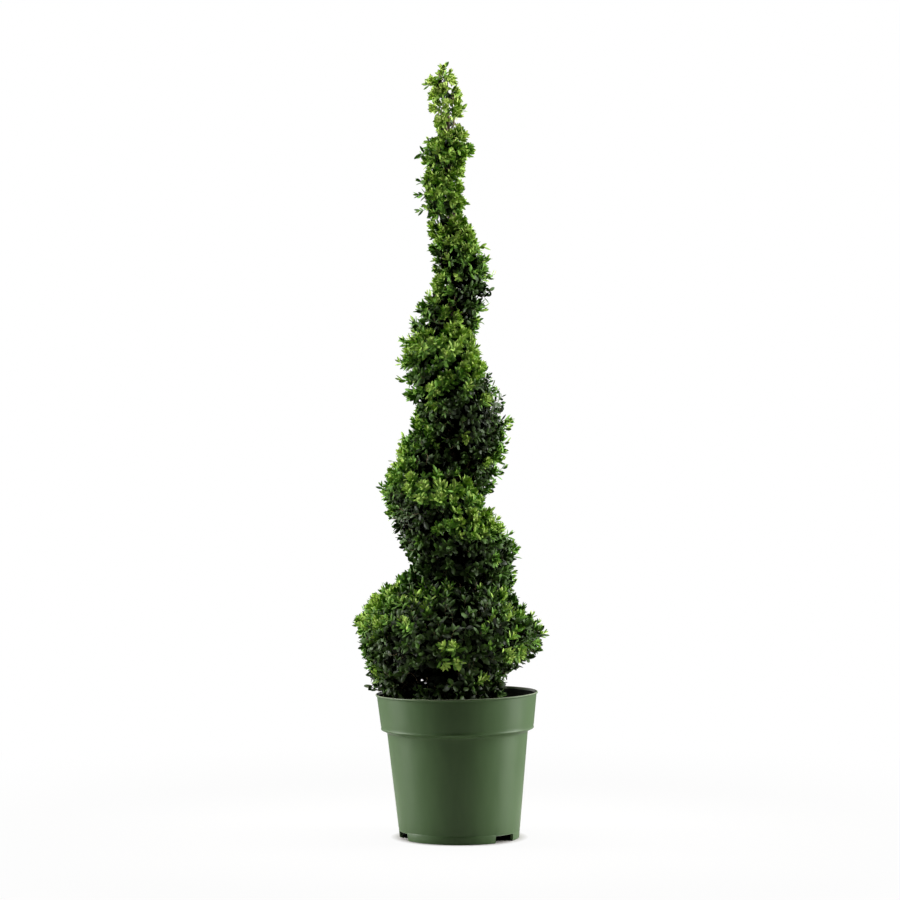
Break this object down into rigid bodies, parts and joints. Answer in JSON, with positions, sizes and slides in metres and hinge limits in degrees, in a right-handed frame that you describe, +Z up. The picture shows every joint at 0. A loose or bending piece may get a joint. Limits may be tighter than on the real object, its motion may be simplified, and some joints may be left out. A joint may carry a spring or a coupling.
{
  "type": "spiral topiary shrub in a nursery pot",
  "caption": "Evergreen shrub clipped into a left-handed spiral of small leaves round one upright trunk, growing in a round plastic nursery pot.",
  "frame": {"origin": "centre of the pot's flat underside, at ground level", "axes": "+Z up along the plant, -Y towards the front, +X to the right seen from the front"},
  "size_m": [0.3198, 0.3281, 1.341],
  "materials": {
    "pot_plastic": "sage green moulded plastic, satin",
    "soil": "dark, crumbly and matte",
    "bark": "finely fissured grey-brown bark, matte",
    "leaves": "small glossy green leaves, lighter at the young tips"
  },
  "bodies": {
    "root": {"pot": "pot_plastic", "potting_soil": "soil", "trunk": "bark", "foliage_tip": "leaves", "foliage_tuft_upper": "leaves", "foliage_tuft_lower": "leaves", "foliage_turn_upper": "leaves", "foliage_turn_middle": "leaves", "foliage_turn_lower": "leaves", "foliage_skirt": "leaves", "foliage_foot": "leaves"}
  },
  "joints": []
}
